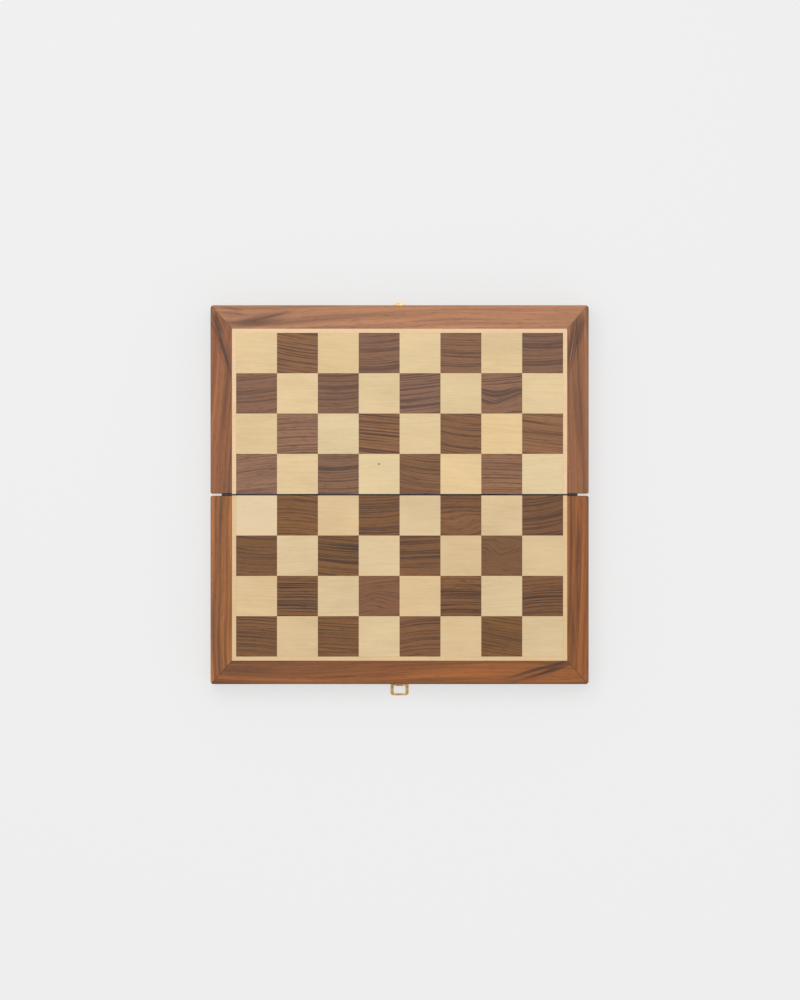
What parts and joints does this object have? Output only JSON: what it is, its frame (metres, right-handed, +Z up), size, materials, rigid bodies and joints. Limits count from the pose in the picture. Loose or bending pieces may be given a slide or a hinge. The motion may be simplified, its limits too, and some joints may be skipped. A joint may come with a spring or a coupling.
{
  "type": "folding chess set",
  "caption": "Wooden chess board in two hinged box halves that folds shut over its lined trays, with a brass hasp and a full set of turned men.",
  "frame": {"origin": "middle of the open board's footprint, on the table under it", "axes": "+X to the right along the fold, +Y from the hasp towards the catch, +Z up through the playing surface"},
  "size_m": [0.3806, 0.3969, 0.0302],
  "materials": {
    "walnut": "satin lacquer over open grain",
    "plywood": "raw",
    "stringing": "satin lacquer",
    "walnut_veneer": "satin lacquer",
    "maple_veneer": "satin lacquer",
    "felt": "wool felt",
    "flocked_foam": "flocked foam",
    "steel_pin": "drawn wire",
    "light_men": "satin lacquer",
    "dark_men": "satin lacquer",
    "brass": "lightly worn polish"
  },
  "bodies": {
    "front_half": {"front_rail_outer": "walnut", "front_rail_left": "walnut", "front_rail_right": "walnut", "front_seam_rail": "walnut", "front_core": "plywood", "front_stringing": "stringing", "front_dark_squares": "walnut_veneer", "front_light_squares": "maple_veneer", "front_tray_felt": "felt", "front_officer_cradle": "flocked_foam", "front_pawn_cradle": "flocked_foam", "front_hinge_screws": "brass", "front_hinge_leaves": "brass", "hinge_pins": "steel_pin", "hasp_plate": "brass", "hasp_pin": "steel_pin", "hasp_nails": "brass", "light_king": "light_men", "light_queen": "light_men", "light_bishops": "light_men", "light_knights": "light_men", "light_rooks": "light_men", "light_pawns": "light_men", "light_men_pads": "felt"},
    "rear_half": {"rear_rail_outer": "walnut", "rear_rail_left": "walnut", "rear_rail_right": "walnut", "rear_seam_rail": "walnut", "rear_core": "plywood", "rear_stringing": "stringing", "rear_dark_squares": "walnut_veneer", "rear_light_squares": "maple_veneer", "rear_tray_felt": "felt", "rear_officer_cradle": "flocked_foam", "rear_pawn_cradle": "flocked_foam", "rear_hinge_screws": "brass", "rear_hinge_leaves": "brass", "catch": "brass", "catch_nails": "brass", "dark_king": "dark_men", "dark_queen": "dark_men", "dark_bishops": "dark_men", "dark_knights": "dark_men", "dark_rooks": "dark_men", "dark_pawns": "dark_men", "dark_men_pads": "felt"},
    "hasp": {"hasp_loop": "brass"}
  },
  "joints": [
    {"name": "fold", "type": "hinge", "parent": "front_half", "child": "rear_half", "pos_m": [0, 0.00432, 0.0015], "axis": [-1, 0, 0], "range_deg": [0, 180]},
    {"name": "hasp_swing", "type": "hinge", "parent": "front_half", "child": "hasp", "pos_m": [0, -0.18778, 0.0032], "axis": [1, 0, 0], "range_deg": [-100, 75.16]}
  ]
}
